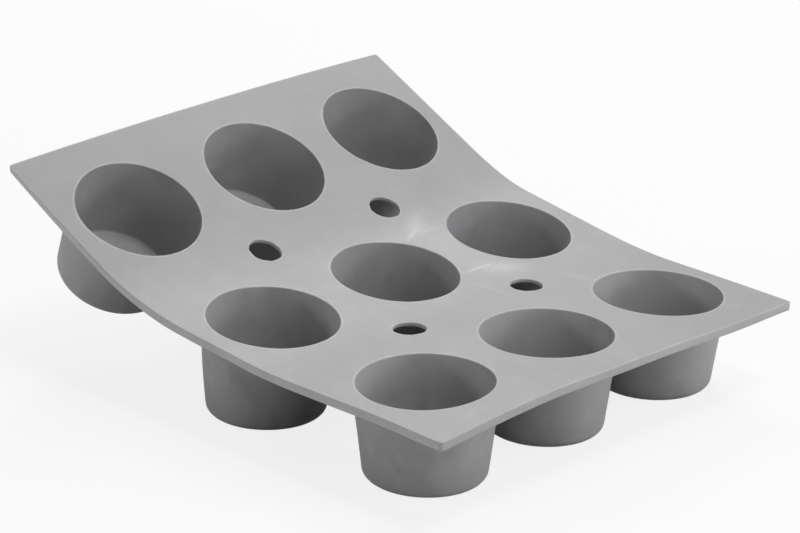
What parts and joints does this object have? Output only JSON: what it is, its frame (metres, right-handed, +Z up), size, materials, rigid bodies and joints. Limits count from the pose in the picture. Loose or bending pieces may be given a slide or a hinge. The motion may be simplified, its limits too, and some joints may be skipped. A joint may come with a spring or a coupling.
{
  "type": "silicone mini muffin mould",
  "caption": "Flexible grey silicone mini muffin mould: a thin square-cornered sheet with rows of round tapered cups and air holes, its rear row curled up.",
  "frame": {"origin": "on the table, under the middle of the mould", "axes": "+X to the right along the rows of cups, +Y from the front edge to the curled rear edge, +Z up"},
  "size_m": [0.1762, 0.2056, 0.0767],
  "materials": {
    "grey_silicone": "satin moulded silicone"
  },
  "bodies": {
    "middle_row": {"middle_row_sheet": "grey_silicone", "front_flex_web": "grey_silicone", "rear_flex_web": "grey_silicone", "middle_left_cup_wall": "grey_silicone", "middle_centre_cup_wall": "grey_silicone", "middle_right_cup_wall": "grey_silicone"},
    "front_row": {"front_row_sheet": "grey_silicone", "front_left_cup_wall": "grey_silicone", "front_centre_cup_wall": "grey_silicone", "front_right_cup_wall": "grey_silicone"},
    "rear_row": {"rear_row_sheet": "grey_silicone", "rear_left_cup_wall": "grey_silicone", "rear_centre_cup_wall": "grey_silicone", "rear_right_cup_wall": "grey_silicone"},
    "front_left_floor": {"front_left_cup_floor": "grey_silicone"},
    "front_centre_floor": {"front_centre_cup_floor": "grey_silicone"},
    "front_right_floor": {"front_right_cup_floor": "grey_silicone"},
    "middle_left_floor": {"middle_left_cup_floor": "grey_silicone"},
    "middle_centre_floor": {"middle_centre_cup_floor": "grey_silicone"},
    "middle_right_floor": {"middle_right_cup_floor": "grey_silicone"},
    "rear_left_floor": {"rear_left_cup_floor": "grey_silicone"},
    "rear_centre_floor": {"rear_centre_cup_floor": "grey_silicone"},
    "rear_right_floor": {"rear_right_cup_floor": "grey_silicone"}
  },
  "joints": [
    {"name": "front_flex", "type": "hinge", "parent": "middle_row", "child": "front_row", "pos_m": [-0.00006, -0.03247, 0.03206], "axis": [-0.9999, 0.0017, -0.013], "range_deg": [-33, 72], "stiffness_Nm_per_rad": 0.25, "springref_deg": -3.44, "deforming": ["front_flex_web"]},
    {"name": "rear_flex", "type": "hinge", "parent": "middle_row", "child": "rear_row", "pos_m": [-0.00004, 0.03637, 0.04177], "axis": [0.9993, -0.013, 0.0346], "range_deg": [-45, 60], "stiffness_Nm_per_rad": 0.25, "springref_deg": 4.18, "deforming": ["rear_flex_web"]},
    {"name": "front_left_push", "type": "slide", "parent": "front_row", "child": "front_left_floor", "axis": [0, 0, 1], "range_m": [0, 0.012], "stiffness_N_per_m": 250},
    {"name": "front_centre_push", "type": "slide", "parent": "front_row", "child": "front_centre_floor", "axis": [0, 0, 1], "range_m": [0, 0.012], "stiffness_N_per_m": 250},
    {"name": "front_right_push", "type": "slide", "parent": "front_row", "child": "front_right_floor", "axis": [0, 0, 1], "range_m": [0, 0.012], "stiffness_N_per_m": 250},
    {"name": "middle_left_push", "type": "slide", "parent": "middle_row", "child": "middle_left_floor", "axis": [0, 0, 1], "range_m": [0, 0.012], "stiffness_N_per_m": 250},
    {"name": "middle_centre_push", "type": "slide", "parent": "middle_row", "child": "middle_centre_floor", "axis": [0, 0, 1], "range_m": [0, 0.012], "stiffness_N_per_m": 250},
    {"name": "middle_right_push", "type": "slide", "parent": "middle_row", "child": "middle_right_floor", "axis": [0, 0, 1], "range_m": [0, 0.012], "stiffness_N_per_m": 250},
    {"name": "rear_left_push", "type": "slide", "parent": "rear_row", "child": "rear_left_floor", "axis": [-0.0778, -0.4696, 0.8795], "range_m": [0, 0.012], "stiffness_N_per_m": 250},
    {"name": "rear_centre_push", "type": "slide", "parent": "rear_row", "child": "rear_centre_floor", "axis": [-0.0489, -0.4612, 0.886], "range_m": [0, 0.012], "stiffness_N_per_m": 250},
    {"name": "rear_right_push", "type": "slide", "parent": "rear_row", "child": "rear_right_floor", "axis": [-0.0198, -0.4524, 0.8916], "range_m": [0, 0.012], "stiffness_N_per_m": 250}
  ]
}
